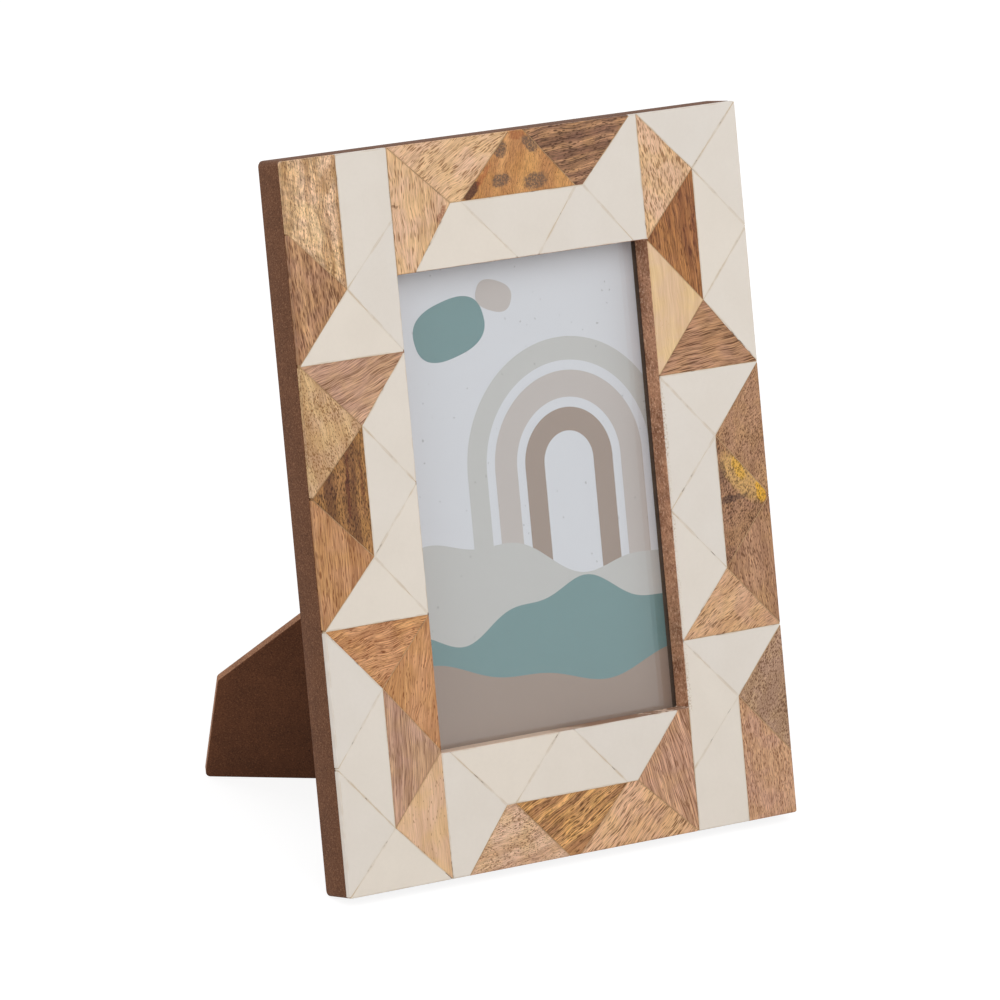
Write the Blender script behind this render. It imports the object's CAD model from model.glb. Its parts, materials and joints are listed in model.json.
"""Table photo frame: a mosaic of wood and bone-coloured tiles on a fibreboard core, dressed for rendering.

Lengths are in metres, but for the card's motifs and the materials, which count in millimetres.
Shapes are drawn on the upright frame: x to the right from its lower left corner, y backwards from
the plane of its back, z up. Upright.stand() then leans them back.
"""

import logging
import math
from dataclasses import dataclass, field
from enum import Enum
from typing import Iterable, Optional, Sequence, Union

import bpy
import numpy as np
from mathutils import Euler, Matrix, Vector
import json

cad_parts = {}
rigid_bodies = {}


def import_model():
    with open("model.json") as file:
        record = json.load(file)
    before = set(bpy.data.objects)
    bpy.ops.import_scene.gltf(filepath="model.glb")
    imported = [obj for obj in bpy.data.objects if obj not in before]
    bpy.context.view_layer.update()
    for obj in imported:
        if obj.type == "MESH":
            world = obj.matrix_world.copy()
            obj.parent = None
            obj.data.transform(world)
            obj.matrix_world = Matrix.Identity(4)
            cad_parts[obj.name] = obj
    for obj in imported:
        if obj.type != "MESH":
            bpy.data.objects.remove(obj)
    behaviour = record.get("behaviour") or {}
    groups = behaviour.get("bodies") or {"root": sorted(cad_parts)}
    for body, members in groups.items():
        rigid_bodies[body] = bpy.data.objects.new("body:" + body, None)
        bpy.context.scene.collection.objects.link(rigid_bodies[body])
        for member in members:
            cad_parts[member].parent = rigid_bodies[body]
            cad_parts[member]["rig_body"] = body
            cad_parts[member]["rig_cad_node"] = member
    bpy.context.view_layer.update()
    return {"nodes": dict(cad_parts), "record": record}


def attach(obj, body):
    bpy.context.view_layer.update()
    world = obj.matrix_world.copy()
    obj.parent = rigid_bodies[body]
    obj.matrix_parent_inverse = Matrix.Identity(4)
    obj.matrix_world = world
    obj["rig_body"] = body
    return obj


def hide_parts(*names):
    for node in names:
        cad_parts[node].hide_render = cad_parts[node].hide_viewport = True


Colour = tuple[float, float, float, float]
Number = Union[float, np.ndarray]
Place = Sequence[float]
Socket = bpy.types.NodeSocket
Node = bpy.types.Node
Material = bpy.types.Material
Piece = bpy.types.Object

log = logging.getLogger("photo_frame")
MM = 0.001


def srgb(code: str) -> Colour:
    """A colour written as RRGGBB, as a linear colour.

    Args:
        code: Six hexadecimal digits.

    Returns:
        Red, green, blue and an alpha of 1.
    """
    parts = [int(code[i : i + 2], 16) / 255 for i in (0, 2, 4)]
    linear = [c / 12.92 if c <= 0.04045 else ((c + 0.055) / 1.055) ** 2.4 for c in parts]
    return (*linear, 1.0)


# ---- Shapes --------------------------------------------------------------------------------


@dataclass(frozen=True)
class Upright:
    """The frame's main sizes and its place on the table, as the solid parts have them."""

    width: float = 165 * MM
    height: float = 216 * MM
    window_w: float = 90.8 * MM
    window_h: float = 141 * MM
    core: float = 10.4 * MM
    lip: float = 4.5 * MM
    tile: float = 1.8 * MM
    picture_w: float = 101.6 * MM
    picture_h: float = 152.4 * MM
    play: float = 0.5 * MM
    glass: float = 2 * MM
    card: float = 0.3 * MM
    board: float = 3.2 * MM
    lean: float = math.radians(15)
    origin_y: float = 45.5935 * MM

    @property
    def ledge(self) -> float:
        """Depth y of the ledge that the glass lies on."""
        return -(self.core - self.lip)

    @property
    def board_front(self) -> float:
        """Depth y of the front of the back, which lies on the glass and the card."""
        return self.ledge + self.glass + self.card

    @property
    def face(self) -> float:
        """Depth y of the tiles' faces."""
        return -self.core - self.tile

    def stand(self, points: np.ndarray) -> np.ndarray:
        """Leans points of the upright frame back and sets them on the table.

        Args:
            points: Places on the upright frame, in any shape that ends in 3.

        Returns:
            The same points where they stand.
        """
        c, s = math.cos(self.lean), math.sin(self.lean)
        x, y, z = points[..., 0] - self.width / 2, points[..., 1], points[..., 2]
        return np.stack([x, y * c + z * s - self.origin_y, z * c - y * s], axis=-1)

    def unstand(self, points: np.ndarray) -> np.ndarray:
        """Takes points of the standing frame back to the upright one.

        Args:
            points: Places where they stand.

        Returns:
            The same points on the upright frame.
        """
        c, s = math.cos(self.lean), math.sin(self.lean)
        x, y, z = points[..., 0] + self.width / 2, points[..., 1] + self.origin_y, points[..., 2]
        return np.stack([x, y * c - z * s, y * s + z * c], axis=-1)


UPRIGHT = Upright()


def arms(corners: np.ndarray) -> tuple[np.ndarray, np.ndarray]:
    """Directions from each corner of an outline to the one before and to the one after.

    Args:
        corners: The outline's corners, counter-clockwise.

    Returns:
        Two arrays of unit vectors.
    """
    u, v = (np.roll(corners, step, axis=0) - corners for step in (1, -1))
    return u / np.linalg.norm(u, axis=1, keepdims=True), v / np.linalg.norm(v, axis=1, keepdims=True)


def for_each(value: Union[Number, Place], corners: np.ndarray) -> np.ndarray:
    """One number for each corner, where there may be one for them all."""
    return np.broadcast_to(np.asarray(value, float), (len(corners),))


def round_corners(corners: np.ndarray, radii: Union[Number, Place], steps: int = 4) -> np.ndarray:
    """An outline with an arc in each corner.

    The arc's centre lies on the corner's bisector at r / sin(half angle), and its points turn
    evenly from the tangent point on one side to that on the other.

    Args:
        corners: The outline's corners, counter-clockwise.
        radii: One radius, or one for each corner.
        steps: Segments in each arc.

    Returns:
        The points of the rounded outline.
    """
    r = for_each(radii, corners)[:, None]
    u, v = arms(corners)
    half = np.arccos(np.clip((u * v).sum(1, keepdims=True), -1, 1)) / 2
    mid = (u + v) / np.linalg.norm(u + v, axis=1, keepdims=True)
    centre = corners + mid * r / np.sin(half)
    first = corners + u * r / np.tan(half) - centre
    turn = np.linspace(0, 1, steps + 1)[None, :] * (math.pi - 2 * half)
    x = first[:, :1] * np.cos(turn) - first[:, 1:] * np.sin(turn)
    y = first[:, :1] * np.sin(turn) + first[:, 1:] * np.cos(turn)
    return (np.stack([x, y], axis=-1) + centre[:, None, :]).reshape(-1, 2)


def draw_in(corners: np.ndarray, by: Number) -> np.ndarray:
    """Corners moved inwards so that every side lies a distance inside its old place.

    With u and v the directions from a corner to the one before and the one after, the corner moves
    by (u * the next side's distance + v * the last side's) / sin of the angle between them.

    Args:
        corners: Corners, counter-clockwise.
        by: The distance, or one for each side, where side i starts at corner i.

    Returns:
        The new corners.
    """
    by = for_each(by, corners)[:, None]
    u, v = arms(corners)
    sine = np.abs(u[:, 0] * v[:, 1] - u[:, 1] * v[:, 0])[:, None]
    return corners + (u * by + v * np.roll(by, 1, axis=0)) / sine


def rectangle(x0: float, z0: float, x1: float, z1: float) -> np.ndarray:
    """Four corners of a rectangle, counter-clockwise."""
    return np.array([[x0, z0], [x1, z0], [x1, z1], [x0, z1]])


def centred(width: float, height: float) -> np.ndarray:
    """A rectangle about the middle of the frame's face."""
    x, z = UPRIGHT.width / 2, UPRIGHT.height / 2
    return rectangle(x - width / 2, z - height / 2, x + width / 2, z + height / 2)


def on_frame(outline: np.ndarray, y: Number) -> np.ndarray:
    """Points of an outline (x, z) at a depth y of the upright frame."""
    depth = np.broadcast_to(np.asarray(y, float), outline.shape[:-1])
    return np.stack([outline[..., 0], depth, outline[..., 1]], axis=-1)


def eased_slab(
    corners: np.ndarray,
    radii: Union[Number, Place],
    back: float,
    front: float,
    ease: Number,
    both: bool = True,
    steps: int = 4,
    least: float = 0.04 * MM,
) -> np.ndarray:
    """Rings of a flat slab whose long edges are rounded over.

    The side is straight between the two edges. On an edge the outline is drawn in by
    ease * (1 - cos a) and moved by ease * sin a, for a from 0 to 90 degrees.

    Args:
        corners: Outline (x, z) of the slab, counter-clockwise.
        radii: Radius of its corners.
        back: Depth y of the back face.
        front: Depth y of the front face.
        ease: Radius of the edges, or one for each side.
        both: Rounds the back edge too.
        steps: Segments in each corner.
        least: The smallest radius that a corner keeps.

    Returns:
        Rings from back to front, as rings by points by 3.
    """
    way = 1 if front > back else -1
    radii, ease = for_each(radii, corners), for_each(ease, corners)
    depth = np.repeat(np.maximum(ease, np.roll(ease, 1)), steps + 1)
    angles = np.radians([0, 30, 60, 90])
    levels = [(a, back, way) for a in angles[::-1] if both] + [(a, front, -way) for a in angles]
    rings = [] if both else [on_frame(round_corners(corners, radii, steps), back)]
    for a, face, inward in levels:
        by = ease * (1 - math.cos(a))
        outline = round_corners(draw_in(corners, by), np.maximum(radii - by, least), steps)
        rings.append(on_frame(outline, face + inward * depth * (1 - math.sin(a))))
    return np.stack(rings)


EASED_RIM = [0, 0, 0, 1, 0, 0, 0]  # Slots of a slab with two eased edges, where the flat rim is slot 1.


@dataclass
class Shell:
    """Points and faces of a piece, gathered part by part."""

    points: list[np.ndarray] = field(default_factory=list)
    faces: list[list[int]] = field(default_factory=list)
    slots: list[int] = field(default_factory=list)
    tints: list[np.ndarray] = field(default_factory=list)
    rims: list[np.ndarray] = field(default_factory=list)
    count: int = 0

    @staticmethod
    def lattice(rows: int, columns: int, looped: bool, closed: bool) -> tuple[np.ndarray, np.ndarray]:
        """Quads over a grid: point j of a row joins point j + 1 and the same two of the next row.

        Args:
            rows: Rows of points.
            columns: Points in a row.
            looped: Joins the last row to the first one.
            closed: Joins the last point of a row to its first.

        Returns:
            The quads, and the row in which each starts.
        """
        starts = (np.arange(rows - int(not looped)), np.arange(columns - int(not closed)))
        i, j = np.meshgrid(*starts, indexing="ij")
        k, m = (i + 1) % rows, (j + 1) % columns
        quads = np.stack([i * columns + j, i * columns + m, k * columns + m, k * columns + j], axis=-1)
        return quads.reshape(-1, 4), i.ravel()

    def keep(
        self, points: np.ndarray, faces: list[np.ndarray], slots: list[int], tint: float, rims: np.ndarray
    ) -> None:
        """Adds points, and faces that count from the first of them.

        Args:
            points: Points by 3.
            faces: Arrays of faces by corners.
            slots: The material slot of each face.
            tint: A number kept on every point, which shifts the colour of the finish.
            rims: For each point, how near it lies to the edge of a face, from 0 to 1.
        """
        for block in faces:
            self.faces += (block + self.count).tolist()
        self.slots += slots
        self.points.append(points)
        self.tints.append(np.full(len(points), tint))
        self.rims.append(rims)
        self.count += len(points)

    def loft(
        self,
        rings: np.ndarray,
        capped: bool = True,
        looped: bool = False,
        slot: Union[int, Sequence[int]] = 0,
        tint: float = 0.5,
        rim: Optional[Place] = None,
    ) -> None:
        """Adds the skin over a stack of closed rings.

        The signed volume, a sixth of the sum of a . (b x c) over the skin's triangles, tells whether
        the faces point outwards, and they are turned over where it is negative.

        Args:
            rings: Points, as rings by points by 3.
            capped: Closes the first and the last ring with a face.
            looped: Joins the last ring to the first one.
            slot: Material slot, or one for each band between two rings.
            tint: A number kept on every point, which shifts the colour of the finish.
            rim: For each ring, how near it lies to the edge of a face, from 0 to 1.
        """
        r, n, _ = rings.shape
        quads, row = self.lattice(r, n, looped, True)
        bands = np.broadcast_to(slot, r - int(not looped))[row].tolist()
        caps = [np.arange(n)[None, ::-1], np.arange(n)[None] + (r - 1) * n] if capped else []
        fans = [np.stack([np.full(n - 2, cap[0, 0]), cap[0, 1:-1], cap[0, 2:]], axis=1) for cap in caps]
        flat = rings.reshape(-1, 3)
        corners = flat[np.concatenate([quads[:, [0, 1, 2]], quads[:, [0, 2, 3]], *fans])] - flat.mean(axis=0)
        if (corners[:, 0] * np.cross(corners[:, 1], corners[:, 2])).sum() < 0:
            quads, caps = quads[:, ::-1], [cap[:, ::-1] for cap in caps]
        slots = bands + [bands[0], bands[-1]][: len(caps)]
        self.keep(flat, [quads, *caps], slots, tint, np.repeat(np.zeros(r) if rim is None else rim, n))

    def sheet(self, grid: np.ndarray, slot: int = 0) -> None:
        """Adds an open sheet, a grid of points by two parameters, whose faces look towards -y.

        Args:
            grid: Points, as rows by columns by 3.
            slot: Material slot.
        """
        quads, _ = self.lattice(*grid.shape[:2], False, False)
        flat = grid.reshape(-1, 3)
        a, b, c = flat[quads[:, 0]], flat[quads[:, 1]], flat[quads[:, 2]]
        if np.cross(b - a, c - a)[:, 1].sum() > 0:
            quads = quads[:, ::-1]
        self.keep(flat, [quads], [slot] * len(quads), 0.5, np.zeros(len(flat)))

    def piece(self, name: str, materials: Sequence[Material], smooth: Optional[float] = None) -> Piece:
        """Makes the object.

        Args:
            name: Its name.
            materials: Its material slots.
            smooth: Angle in degrees below which faces are shaded as one surface, or None for flat.

        Returns:
            The object, at the origin.
        """
        mesh = bpy.data.meshes.new(name)
        mesh.from_pydata(np.concatenate(self.points).tolist(), [], self.faces)
        mesh.polygons.foreach_set("material_index", np.array(self.slots, dtype=np.int32))
        for key, values in (("tint", self.tints), ("rim", self.rims)):
            layer = mesh.attributes.new(key, "FLOAT", "POINT")
            layer.data.foreach_set("value", np.concatenate(values).astype(np.float32))
        for material in materials:
            mesh.materials.append(material)
        mesh.update()
        if smooth is not None:
            mesh.polygons.foreach_set("use_smooth", np.ones(len(mesh.polygons), dtype=bool))
            mesh.set_sharp_from_angle(angle=math.radians(smooth))
        return placed_in_scene(name, mesh)


def placed_in_scene(name: str, data: bpy.types.ID) -> Piece:
    """Makes an object in the scene's own collection.

    Args:
        name: Its name.
        data: Its mesh, lamp or camera.

    Returns:
        The object.
    """
    thing = bpy.data.objects.new(name, data)
    bpy.context.scene.collection.objects.link(thing)
    return thing


def dress(piece: Piece, body: str, nodes: Iterable[str] = ()) -> None:
    """Hangs a piece on its body and says what it stands for.

    Args:
        piece: The piece.
        body: The body that it moves with.
        nodes: The solid parts that it stands for.
    """
    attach(piece, body)
    if nodes:
        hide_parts(*nodes)
    log.info("%s: %d faces on %s", piece.name, len(piece.data.polygons), body)


# ---- Shading -------------------------------------------------------------------------------


class Nodes:
    """A thin hand on a node tree, for writing node networks in few words."""

    def __init__(self, tree: bpy.types.NodeTree) -> None:
        """Keeps the tree."""
        self.tree = tree

    def feed(self, node: Node, **inputs: object) -> Node:
        """Sets inputs of a node.

        Args:
            node: The node.
            **inputs: Values or sockets. An underscore stands for a space, and a name of i and a
                number is the input's place.

        Returns:
            The node.
        """
        for key, value in inputs.items():
            socket = node.inputs[int(key[1:]) if key[1:].isdigit() else key.replace("_", " ")]
            if isinstance(value, Socket):
                self.tree.links.new(value, socket)
            else:
                socket.default_value = value
        return node

    def add(self, kind: str, settings: Optional[dict] = None, **inputs: object) -> Node:
        """Adds a node.

        Args:
            kind: Its type, without the words ShaderNode.
            settings: Properties of the node.
            **inputs: Its inputs, as in feed().

        Returns:
            The node.
        """
        node = self.tree.nodes.new("ShaderNode" + kind)
        row, column = divmod(len(self.tree.nodes), 12)
        node.location = (200 * column, -260 * row)
        for key, value in (settings or {}).items():
            setattr(node, key, value)
        return self.feed(node, **inputs)

    def group(self, tree: bpy.types.NodeTree, **inputs: object) -> dict[str, Socket]:
        """Places a node group with its values, and gives its outputs."""
        return self.add("Group", {"node_tree": tree}, **inputs).outputs

    def math(self, operation: str, *inputs: object, clamp: bool = False) -> Socket:
        """A Math node's result."""
        places = {f"i{i}": value for i, value in enumerate(inputs)}
        return self.add("Math", {"operation": operation, "use_clamp": clamp}, **places).outputs[0]

    def times(self, a: object, b: object) -> Socket:
        """The product of two numbers."""
        return self.math("MULTIPLY", a, b)

    def times_plus(self, a: object, b: object, c: object) -> Socket:
        """The product of two numbers, and a third added to it."""
        return self.math("MULTIPLY_ADD", a, b, c)

    def vector(self, operation: str, a: object, b: object) -> Socket:
        """A Vector Math node's result."""
        return self.add("VectorMath", {"operation": operation}, i0=a, i1=b).outputs[0]

    def scale(self, vector: object, by: object) -> Socket:
        """A vector or colour multiplied by a number."""
        return self.add("VectorMath", {"operation": "SCALE"}, i0=vector, Scale=by).outputs[0]

    def in_mm(self, place: Socket) -> Socket:
        """A place in metres, in millimetres."""
        return self.scale(place, 1000.0)

    def measured(self, vector: Socket, size: Socket) -> Socket:
        """A vector counted in lengths of a size."""
        return self.scale(vector, self.math("DIVIDE", 1.0, size))

    def split(self, vector: Socket) -> Sequence[Socket]:
        """The three parts of a vector."""
        return self.add("SeparateXYZ", None, Vector=vector).outputs

    def join(self, x: object, y: object, z: object) -> Socket:
        """A vector of three parts."""
        return self.add("CombineXYZ", None, X=x, Y=y, Z=z).outputs[0]

    def noise(self, vector: Socket, scale: float = 1.0, detail: float = 2.0, rough: float = 0.5) -> Socket:
        """Noise from 0 to 1 at a place."""
        node = self.add("TexNoise", None, Vector=vector, Scale=scale, Detail=detail, Roughness=rough)
        return node.outputs["Fac"]

    def ramp(self, value: object, low: object, high: object, start: float = 0.0, end: float = 1.0) -> Socket:
        """A value carried smoothly from one range to another."""
        ends = {"i1": low, "i2": high, "i3": start, "i4": end}
        return self.add("MapRange", {"interpolation_type": "SMOOTHSTEP"}, i0=value, **ends).outputs[0]

    def mix(self, fac: object, a: object, b: object, kind: str = "MIX") -> Socket:
        """A colour between two others."""
        settings = {"data_type": "RGBA", "blend_type": kind, "clamp_factor": True}
        return self.add("Mix", settings, i0=fac, i6=a, i7=b).outputs[2]

    def seen(self) -> Socket:
        """Tells the rays that look at the room from those that light the object.

        Returns:
            1 for camera, glossy and transmission rays, and 0 for others.
        """
        path = self.add("LightPath").outputs
        past = self.math("ADD", path["Is Glossy Ray"], path["Is Transmission Ray"])
        return self.math("ADD", path["Is Camera Ray"], past, clamp=True)


class Group(Nodes):
    """A node group in the making, with its inputs by name."""

    def __init__(self, name: str, takes: dict[str, object], gives: dict[str, str]) -> None:
        """Makes the group and its sockets.

        Args:
            name: Its name.
            takes: Inputs and their defaults. None stands for a vector.
            gives: Outputs and their kinds.
        """
        super().__init__(bpy.data.node_groups.new(name, "ShaderNodeTree"))
        for key, value in takes.items():
            kind = "Vector" if value is None else "Color" if isinstance(value, tuple) else "Float"
            socket = self.tree.interface.new_socket(key, in_out="INPUT", socket_type="NodeSocket" + kind)
            if value is not None:
                socket.default_value = value
        for key, kind in gives.items():
            self.tree.interface.new_socket(key, in_out="OUTPUT", socket_type="NodeSocket" + kind)
        self.given = {s.name: s for s in self.tree.nodes.new("NodeGroupInput").outputs if s.name}
        self.end = self.tree.nodes.new("NodeGroupOutput")

    def finished(self, **outputs: Socket) -> bpy.types.NodeTree:
        """Feeds the group's outputs, and gives the group."""
        self.feed(self.end, **outputs)
        return self.tree


class Effects:
    """The shader groups that several materials share, each made once."""

    def __init__(self) -> None:
        """Builds every group."""
        self.timber = self._timber()
        self.streak = self._streak()
        self.fibre = self._fibre()
        self.mottle = self._mottle()

    @staticmethod
    def _timber() -> bpy.types.NodeTree:
        """Wood cut along its grain, which runs along Z.

        Broad bands follow noise that is drawn out along the grain and bent by slow ripples, and
        the tint drifts over a few millimetres. Fine fibres lighten and darken the colour, and curl
        is a shimmer across them. Pores are short dark strokes: each lies at the middle of a cell
        that is drawn out along the grain, and its reach differs from cell to cell.

        Returns:
            The group.
        """
        wood = srgb("C8A070")
        band_length, fibre_width, stain_depth = 50.0, 0.26, 0.85
        g = Group(
            "Timber figure",
            {
                "Vector": None, "Base": wood, "Band": wood, "Pore": wood, "Band Size": 4.0,
                "Band Amount": 0.7, "Ripple": 0.6, "Fibre Amount": 0.5, "Fibre Length": 4.0,
                "Pore Amount": 0.5, "Pore Length": 2.4, "Pore Width": 0.6, "Curl": 0.0,
            },
            {"Color": "Color", "Roughness": "Float", "Height": "Float"},
        )
        given = g.given
        mm = g.in_mm(given["Vector"])
        xyz = g.split(mm)
        slow = g.noise(g.vector("MULTIPLY", mm, (0.1, 0.1, 0.085)), detail=1.0)
        bend = g.times(g.math("SUBTRACT", slow, 0.5), g.times(given["Ripple"], 6.0))
        x = g.math("ADD", xyz[0], bend)

        def grained(across: object, along: object) -> Socket:
            """The place, measured in these lengths across and along the bent grain."""
            return g.join(g.math("DIVIDE", x, across), g.math("DIVIDE", xyz[1], across),
                          g.math("DIVIDE", xyz[2], along))

        band = g.ramp(g.noise(grained(given["Band Size"], band_length), 1.0, 3.0, 0.6), 0.36, 0.64)
        colour = g.mix(g.times(band, given["Band Amount"]), given["Base"], given["Band"])
        drift = g.mix(g.ramp(g.noise(mm, 0.13), 0.35, 0.65), (1.02, 1.01, 0.92, 1), (1.0, 0.98, 1.06, 1))
        colour = g.mix(1.0, colour, drift, "MULTIPLY")
        fibre = g.noise(grained(fibre_width, given["Fibre Length"]), 1.0, 3.0, 0.65)
        dark = g.times(g.ramp(fibre, 0.52, 0.36), given["Fibre Amount"])
        colour = g.mix(g.times(dark, stain_depth), colour, given["Pore"])
        light = g.times_plus(g.ramp(fibre, 0.5, 0.66), g.times(given["Fibre Amount"], 0.4), 1.0)
        skew = g.join(g.times(xyz[0], 0.3), xyz[1], g.times_plus(xyz[0], 0.6, xyz[2]))
        shimmer = g.times(g.ramp(g.noise(skew, 0.9), 0.3, 0.7, -1.0, 1.0), given["Curl"])
        colour = g.scale(colour, g.math("ADD", light, g.times(shimmer, 0.3)))
        cells = g.add("TexVoronoi", {"voronoi_dimensions": "3D"}, Scale=1.0,
                      Vector=grained(given["Pore Width"], given["Pore Length"])).outputs
        chance = g.add("SeparateColor", None, Color=cells["Color"]).outputs[0]
        crowd = g.ramp(g.noise(g.vector("MULTIPLY", mm, (0.2, 0.2, 0.1)), detail=1.0), 0.3, 0.7, 0.42, 0.78)
        reach = g.times(g.times(crowd, given["Pore Amount"]), g.ramp(chance, 0.0, 1.0, 0.5, 1.0))
        pores = g.ramp(cells["Distance"], reach, g.times(reach, 0.5))
        return g.finished(
            Color=g.mix(g.times(pores, stain_depth), colour, given["Pore"]),
            Roughness=g.times_plus(pores, 0.2, g.ramp(fibre, 0.2, 0.8, 0.4, 0.56)),
            Height=g.math("SUBTRACT", g.times(fibre, 0.4), pores),
        )

    @staticmethod
    def _streak() -> bpy.types.NodeTree:
        """A stain about the origin, long along Z, with a wavering edge broken up by the grain.

        Its edge is an ellipse of the given half width and half length, and noise moves each point
        before it is compared with that ellipse.

        Returns:
            The group.
        """
        g = Group("Stain streak", {"Vector": None, "Width": 2.0, "Length": 20.0, "Ragged": 0.4},
                  {"Mask": "Float"})
        waver, endless = 3.0, 1000.0
        mm = g.in_mm(g.given["Vector"])
        sway = g.add("TexNoise", None, Vector=mm, Scale=0.45, Detail=3.0).outputs["Color"]
        at = g.vector("ADD", mm, g.scale(g.vector("SUBTRACT", sway, (0.5, 0.5, 0.5)), waver))
        off = g.vector("DIVIDE", at, g.join(g.given["Width"], endless, g.given["Length"]))
        reach = g.add("VectorMath", {"operation": "LENGTH"}, i0=off).outputs["Value"]
        broken = g.times(g.ramp(g.noise(mm, 1.6), 0.56, 0.4), g.given["Ragged"])
        return g.finished(Mask=g.times(g.ramp(reach, 0.7, 1.1, 1.0, 0.0), g.math("SUBTRACT", 1.0, broken)))

    @staticmethod
    def _fibre() -> bpy.types.NodeTree:
        """Pressed wood fibre: a fine speckle over slow clouds, with scattered dark specks.

        Returns:
            The group.
        """
        brown = srgb("6A4838")
        g = Group(
            "Pressed fibre",
            {"Vector": None, "Base": brown, "Dark": brown, "Light": brown, "Grain Size": 0.4,
             "Grain Amount": 0.5, "Cloud Amount": 0.4},
            {"Color": "Color", "Height": "Float"},
        )
        base, dark, light, amount = (g.given[key] for key in ("Base", "Dark", "Light", "Grain Amount"))
        mm = g.in_mm(g.given["Vector"])
        fine = g.noise(g.measured(mm, g.given["Grain Size"]), 1.0, 3.0, 0.65)
        cloud = g.ramp(g.noise(mm, 0.12, 3.0, 0.55), 0.35, 0.7)
        colour = g.mix(g.times(cloud, g.given["Cloud Amount"]), base, dark)
        colour = g.mix(g.times(g.ramp(fine, 0.5, 0.74), amount), colour, light)
        colour = g.mix(g.times(g.ramp(fine, 0.48, 0.26), amount), colour, dark)
        specks = g.times(g.ramp(g.noise(mm, 0.9, 1.0), 0.72, 0.78), 0.6)
        return g.finished(Color=g.mix(specks, colour, dark), Height=fine)

    @staticmethod
    def _mottle() -> bpy.types.NodeTree:
        """Soft clouds and fine scuffs, for cast resin, paper and sheet metal.

        Returns:
            The group.
        """
        grey = srgb("B0B0B0")
        g = Group(
            "Clouds and scuffs",
            {"Vector": None, "Base": grey, "Cloud": grey, "Cloud Size": 12.0, "Cloud Amount": 0.5,
             "Scuff Size": 0.8, "Scuff Amount": 0.1},
            {"Color": "Color", "Scuffs": "Float", "Clouds": "Float"},
        )
        mm = g.in_mm(g.given["Vector"])
        cloud = g.ramp(g.noise(g.measured(mm, g.given["Cloud Size"]), 1.0, 3.0), 0.3, 0.7)
        scuff = g.noise(g.measured(mm, g.given["Scuff Size"]), 1.0, 4.0, 0.6)
        colour = g.mix(g.times(cloud, g.given["Cloud Amount"]), g.given["Base"], g.given["Cloud"])
        shade = g.times_plus(g.math("SUBTRACT", scuff, 0.5), g.given["Scuff Amount"], 1.0)
        return g.finished(Color=g.scale(colour, shade), Scuffs=scuff, Clouds=cloud)


class Paint(Nodes):
    """A material in the making, with its Principled shader."""

    def __init__(self, name: str, **constants: object) -> None:
        """Makes the material.

        Args:
            name: Its name.
            **constants: Values for the shader's own sockets, with underscores for spaces.
        """
        self.material = bpy.data.materials.new(name)
        self.material.use_nodes = True
        super().__init__(self.material.node_tree)
        self.shader = self.tree.nodes["Principled BSDF"]
        self.feed(self.shader, **constants)

    def placed(self, turn: float = 0.0, shift: Place = (0, 0, 0), centre: Optional[Place] = None) -> Socket:
        """Object coordinates, turned upright and then about the face's normal.

        Args:
            turn: Direction of the new Z on the frame's face, in degrees from up towards the right.
            shift: Moves the pattern, in metres.
            centre: A point (x, z) of the frame's face, in millimetres, that becomes the origin.

        Returns:
            The place as a vector.
        """
        angles = (UPRIGHT.lean, -math.radians(turn), 0)
        if centre:
            point = UPRIGHT.stand(on_frame(np.array(centre) * MM, UPRIGHT.face))
            shift = -(Euler(angles).to_matrix() @ Vector(point))
        at = self.add("TexCoord").outputs["Object"]
        return self.add("Mapping", None, Vector=at, Location=tuple(shift), Rotation=angles).outputs[0]

    def from_middle(self) -> Socket:
        """The place in millimetres from the middle of the window, on the tiles' faces."""
        return self.in_mm(self.placed(centre=(UPRIGHT.width / 2 / MM, UPRIGHT.height / 2 / MM)))

    def kept(self, name: str) -> Socket:
        """A number that the mesh keeps on its points."""
        return self.add("Attribute", {"attribute_name": name}).outputs["Fac"]

    def surfaced(self, shader: Node) -> Material:
        """Puts a shader on the surface, and gives the material."""
        self.feed(self.tree.nodes["Material Output"], Surface=shader.outputs[0])
        return self.material

    def done(
        self, height: Optional[Socket] = None, relief: float = 0.0, strength: float = 0.3, **inputs: Socket
    ) -> Material:
        """Feeds the Principled shader.

        Args:
            height: A height that moves the normal.
            relief: The height's reach, in millimetres.
            strength: How strongly it does so.
            **inputs: The shader's other sockets.

        Returns:
            The material.
        """
        if height is not None:
            bump = self.add("Bump", None, Height=height, Distance=relief * MM, Strength=strength)
            inputs["Normal"] = bump.outputs[0]
        self.feed(self.shader, **inputs)
        return self.material


class Timber(Enum):
    """Kinds of wood in the mosaic: light wood, darker bands, and pores, each as a colour code."""

    STRAW = ("E5BE98", "CAA176", "8D6039")
    GOLD = ("EAC59C", "B0875A", "70482A")
    ROSY = ("CAA284", "A47C62", "70482C")
    AMBER = ("CE9A6A", "AB764B", "763E1B")
    DARK_OLIVE = ("AC7C48", "6E4628", "3E200C")
    OLIVE = ("D7B388", "BD946B", "865B30")
    BROWN = ("C0946E", "9A7050", "603820")
    RED_BROWN = ("B27A48", "8A562F", "57280F")
    PALE = ("E5C59C", "D5B086", "C99863")
    UMBER = ("B48967", "94684A", "4D2B15")
    HONEY = ("DEB28A", "C6946C", "704A28")
    GREYED = ("C5A283", "A18064", "69452F")
    WALNUT = ("BA8C64", "7B5640", "432614")
    SPALTED = ("D49D62", "B07846", "603310")
    MUSTARD = ("DCA869", "A5744A", "583110")
    PINK = ("CEA282", "AD8264", "744628")
    TAN = ("E1BD9B", "C59B78", "855B39")


@dataclass(frozen=True)
class Streak:
    """A stain on a tile: its middle (x, z) on the frame's face, half width and half length in mm."""

    colour: str
    at: tuple[float, float]
    turn: float
    width: float
    length: float
    amount: float
    ragged: float = 0.4


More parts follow.
